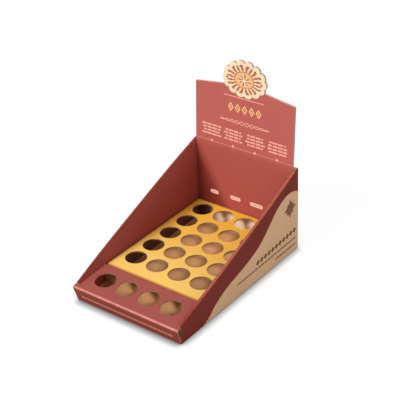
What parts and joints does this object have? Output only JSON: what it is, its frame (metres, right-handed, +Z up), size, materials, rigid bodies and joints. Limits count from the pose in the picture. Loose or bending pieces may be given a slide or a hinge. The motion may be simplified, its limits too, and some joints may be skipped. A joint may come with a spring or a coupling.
{
  "type": "counter display tray",
  "caption": "Folded board counter tray with low leaning lip, sloping double side walls, drilled platform for small bottles and a leaning header card.",
  "frame": {"origin": "centre of the base's underside", "axes": "+X across the tray to the right seen from the front, +Y from the front lip to the header, +Z up"},
  "size_m": [0.16, 0.2571, 0.2405],
  "materials": {
    "red_board": "satin printed",
    "yellow_board": "satin printed",
    "header_board": "satin printed"
  },
  "bodies": {
    "root": {"tray": "red_board", "insert": "yellow_board", "header_card": "header_board"}
  },
  "joints": []
}
